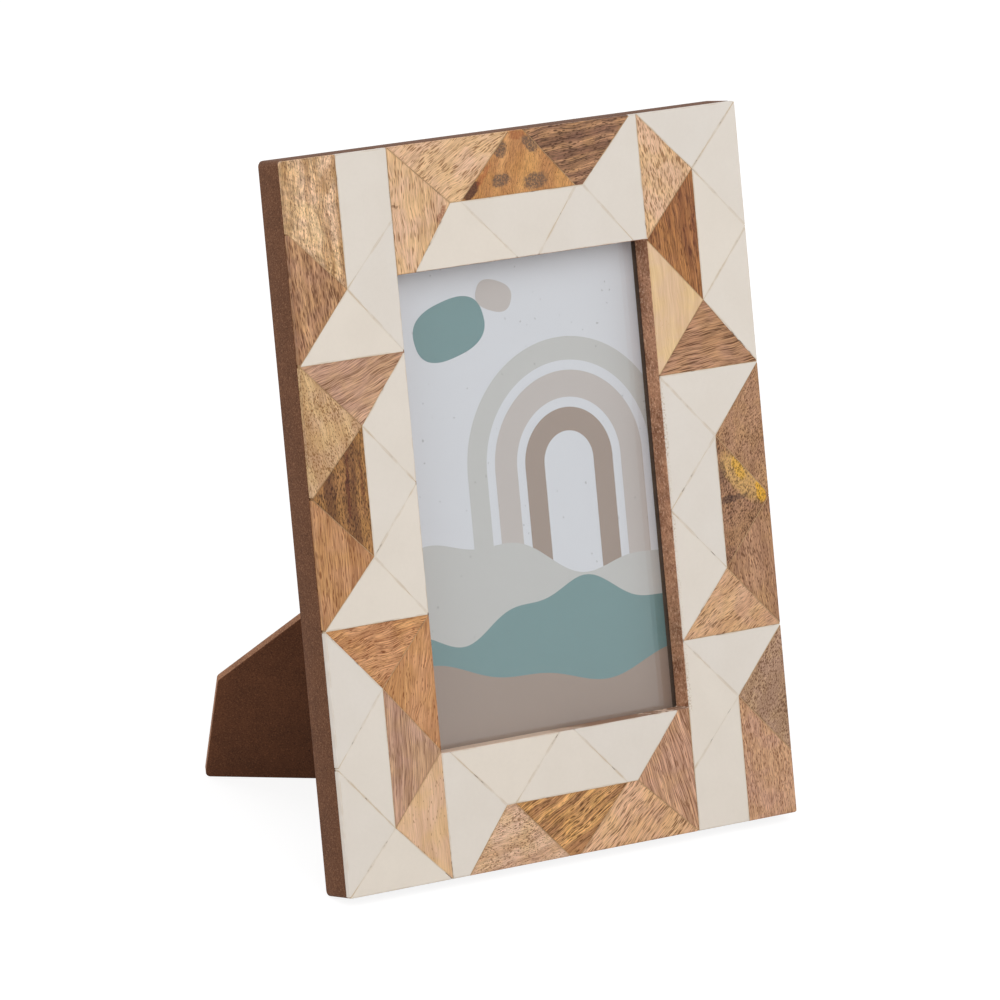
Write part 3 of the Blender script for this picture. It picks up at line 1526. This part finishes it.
@dataclass
class Easel:
    """The folding leg with its hinge, and the four turn buttons.

    The leg and the rivets are drawn from the hinge's pin: x along the pin, y towards the foot, z
    away from the frame. The pin lies across the back at 45 degrees.
    """

    effects: Effects
    nodes: dict[str, Piece]
    face: Material
    edge: Material
    leg_w: float = 48 * MM
    reach: float = 142 * MM
    end: float = 4.5 * MM
    side_foot: float = math.radians(43)
    corners: tuple[float, float] = (2 * MM, 1.5 * MM)
    ease: float = 0.2 * MM
    pin: float = 4.2 * MM
    leaf: float = 0.8 * MM
    hinge_x: float = 101.009 * MM
    hinge_z: float = 101.963 * MM
    open_angle: float = math.radians(41.5071)
    head: tuple[float, float] = (2.2 * MM, 0.7 * MM)
    tail: tuple[float, float] = (2.1 * MM, 0.6 * MM)
    shank: float = 1.2 * MM
    broken: float = 0.12 * MM
    broken_screw: float = 0.06 * MM
    metal: MetalFinish = MetalFinish()

    def at_hinge(self, points: np.ndarray, opened: bool) -> np.ndarray:
        """Carries points from the hinge to the standing frame.

        Args:
            points: Places from the pin.
            opened: Turns them about the pin with the open leg.

        Returns:
            Their places where they stand.
        """
        x, y, z = points[..., 0], points[..., 1], points[..., 2]
        if opened:
            c, s = math.cos(self.open_angle), math.sin(self.open_angle)
            y, z = y * c - z * s, y * s + z * c
        r = math.sqrt(0.5)
        place = np.stack([(x - y) * r + self.hinge_x, z + self.pin, self.hinge_z - (x + y) * r], axis=-1)
        return UPRIGHT.stand(place)

    def leg(self) -> None:
        """The leg: a sheet with two feet, eased edges and a raw sawn rim."""
        half, thick = self.leg_w / 2, UPRIGHT.board / 2
        top, foot = self.corners
        corners = np.array([
            [-half, self.end], [half, self.end], [half, self.reach - half], [0, self.reach],
            [-half, self.reach - half / math.tan(self.side_foot)],
        ])
        slab = eased_slab(corners, [top, top, foot, foot, foot], -thick, thick, self.ease)
        shell = Shell()
        shell.loft(self.at_hinge(slab[..., [0, 2, 1]], True), slot=EASED_RIM)
        piece = shell.piece("leg_panel", [self.face, self.edge], smooth=35)
        dress(piece, "leg", ["easel_leg"])

    def eased_copy(
        self, node: str, name: str, body: str, material: Material, width: float
    ) -> None:
        """A merged copy of a solid part with its sharp edges broken.

        Args:
            node: The solid part.
            name: The new piece's name.
            body: The body that it rides on.
            material: Its finish.
            width: Width of the broken edges.
        """
        piece = self.nodes[node].copy()
        piece.data = self.nodes[node].data.copy()
        piece.name = piece.data.name = name
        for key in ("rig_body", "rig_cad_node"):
            if key in piece:
                del piece[key]
        bpy.context.scene.collection.objects.link(piece)
        piece.parent = None
        piece.data.materials.clear()
        piece.data.materials.append(material)
        weld = piece.modifiers.new("weld", "WELD")
        weld.merge_threshold = 1e-6
        bevel = piece.modifiers.new("broken_edges", "BEVEL")
        bevel.width, bevel.segments, bevel.limit_method = width, 2, "ANGLE"
        bevel.angle_limit = math.radians(35)
        dress(piece, body, [node])

    def rivet(self, shell: Shell, x: float, y: float, top: float, bottom: float, opened: bool) -> None:
        """A rivet: a low dome over a straight shank, with a flat set tail.

        The dome's radius is r cos a at a height of h sin a, for a from 0 to 90 degrees.

        Args:
            shell: The piece that it belongs to.
            x: Its place along the pin.
            y: Its place towards the foot.
            top: The level on which the head bears.
            bottom: The level of the tail's end.
            opened: Whether it turns with the open leg.
        """
        a = np.radians([0, 0, 20, 40, 60, 78, 89.5])
        (head_r, head_h), (tail_r, tail_h), shank = self.head, self.tail, self.shank
        low, high = bottom, bottom + tail_h
        radius = np.array([0.02 * MM, shank, tail_r, tail_r, shank, shank, *(head_r * np.cos(a))])
        height = np.array([low, low, low, high, high, top, *(top + head_h * np.sin(a))])
        turn = np.linspace(0, 2 * math.pi, 33)[:-1]
        rings = np.stack([
            x + radius[:, None] * np.cos(turn), y + radius[:, None] * np.sin(turn),
            np.broadcast_to(height[:, None], (len(radius), len(turn))),
        ], axis=-1)
        shell.loft(self.at_hinge(rings, opened))

    def hinge(self) -> None:
        """The leaves, the pin and the rivets."""
        metal = self.metal.material("hinge_plating", self.effects)
        for node, name, body in (
            ("hinge_back_leaf", "hinge_plate_back", "frame"),
            ("hinge_leg_leaf", "hinge_plate_leg", "leg"),
            ("hinge_pin", "hinge_rod", "frame"),
        ):
            self.eased_copy(node, name, body, metal, self.broken)
        board, leg = UPRIGHT.board, UPRIGHT.board / 2
        back = UPRIGHT.board_front + board - self.pin
        on_back = [(x, y) for x in (-11.5, 11.5) for y in (-7, 7)]
        on_leg = [(-9, 12), (9, 12), (0, 19)]
        for name, body, places, top, bottom in (
            ("back", "frame", on_back, back + self.leaf, back - board),
            ("leg", "leg", on_leg, leg + self.leaf, -leg - self.tail[1]),
        ):
            shell = Shell()
            for x, y in places:
                self.rivet(shell, x * MM, y * MM, top, bottom, body == "leg")
            piece = shell.piece(f"rivets_{name}", [metal], smooth=40)
            dress(piece, body, [f"{name}_leaf_rivets"])

    def buttons(self) -> None:
        """The turn buttons and their screws."""
        metal, slot = self.metal.material("button_plating", self.effects), "button_metal"
        for side in ("top", "right", "bottom", "left"):
            node = f"turn_button_{side}"
            self.eased_copy(node, f"button_{side}", node, metal, self.broken)
        self.eased_copy("turn_button_screws", "button_screws", "frame", metal, self.broken_screw)

    def build(self) -> None:
        """Makes the leg, the hinge and the buttons."""
        self.leg()
        self.hinge()
        self.buttons()


# ---- Studio --------------------------------------------------------------------------------


@dataclass(frozen=True)
class Lamp:
    """A square soft box: its name, its place, its side and its power in watts."""

    name: str
    place: tuple[float, float, float]
    side: float
    power: float


@dataclass
class Studio:
    """The white room, its lamps and the camera, placed as the photograph's perspective gives it."""

    floor_size: float = 30.0
    floor_shade: float = 0.7
    floor_shadow: float = 0.25
    floor_glow: float = 0.87
    ambient: float = 0.36
    aim: tuple[float, float, float] = (0, 0, 0.1)
    lamps: tuple[Lamp, ...] = (
        Lamp("key", (-0.2, -1.9, 1.9), 2.5, 31),
        Lamp("fill", (1.8, -1.2, 0.9), 1.4, 8),
        Lamp("side", (-2.2, -0.3, 0.9), 2.0, 16.5),
        Lamp("back", (-0.6, 2.0, 1.6), 2.0, 16.5),
    )
    camera_place: tuple[float, float, float] = (-1.45846, -1.94294, 0.89056)
    camera_turn: tuple[float, float, float] = (71.8759, -3.5871, -35.8279)
    camera_lens: float = 308.64

    def floor(self) -> None:
        """A pale floor that keeps the shadow and shows as white."""
        s = self.floor_size / 2
        mesh = bpy.data.meshes.new("floor")
        mesh.from_pydata([(-s, -s, 0), (s, -s, 0), (s, s, 0), (-s, s, 0)], [], [(0, 1, 2, 3)])
        n = Paint("pale_floor")
        n.tree.nodes.remove(n.shader)
        shades = (self.floor_shade, self.floor_shadow)
        plain, soft = (n.add("BsdfDiffuse", None, Color=(c, c, c, 1)) for c in shades)
        glow = n.add("Emission", None, Color=(1, 1, 1, 1), Strength=self.floor_glow)
        white = n.add("AddShader", None, i0=soft.outputs[0], i1=glow.outputs[0])
        mix = n.add("MixShader", None, i0=n.seen(), i1=plain.outputs[0], i2=white.outputs[0])
        mesh.materials.append(n.surfaced(mix))
        placed_in_scene("floor", mesh)

    def world(self) -> None:
        """A world that shows as white, and lights the object less."""
        world = bpy.data.worlds.new("white_world")
        bpy.context.scene.world = world
        world.use_nodes = True
        w = Nodes(world.node_tree)
        strength = w.ramp(w.seen(), 0.0, 1.0, self.ambient, 1.0)
        w.feed(w.tree.nodes["Background"], Strength=strength, Color=(1, 1, 1, 1))

    def build(self) -> None:
        """Sets up the whole studio."""
        self.floor()
        self.world()
        for lamp in self.lamps:
            data = bpy.data.lights.new(lamp.name, "AREA")
            data.size, data.energy = lamp.side, lamp.power
            light = placed_in_scene(lamp.name, data)
            light.location = lamp.place
            way = Vector(self.aim) - Vector(lamp.place)
            light.rotation_euler = way.to_track_quat("-Z", "Y").to_euler()
        data = bpy.data.cameras.new("camera")
        data.sensor_width, data.lens = 36, self.camera_lens
        data.clip_start, data.clip_end = 0.1, 100
        camera = placed_in_scene("camera", data)
        camera.location = self.camera_place
        camera.rotation_euler = tuple(math.radians(a) for a in self.camera_turn)
        bpy.context.scene.camera = camera
        bpy.context.scene.view_settings.view_transform = "Standard"


def main() -> None:
    """Loads the solid parts, dresses them piece by piece and sets up the studio."""
    logging.basicConfig(level=logging.INFO, format="%(name)s: %(message)s")
    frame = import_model()
    nodes = frame["nodes"]
    slots = {part["node"]: part["material_slot"] for part in frame["record"]["subparts"]}
    effects = Effects()
    Mosaic(effects, nodes, slots).build()
    carcass = Carcass(effects, nodes)
    carcass.build()
    Card(effects).build()
    Easel(effects, nodes, carcass.face, carcass.edge).build()
    Studio().build()
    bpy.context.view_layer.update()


if __name__ == "__main__":
    main()
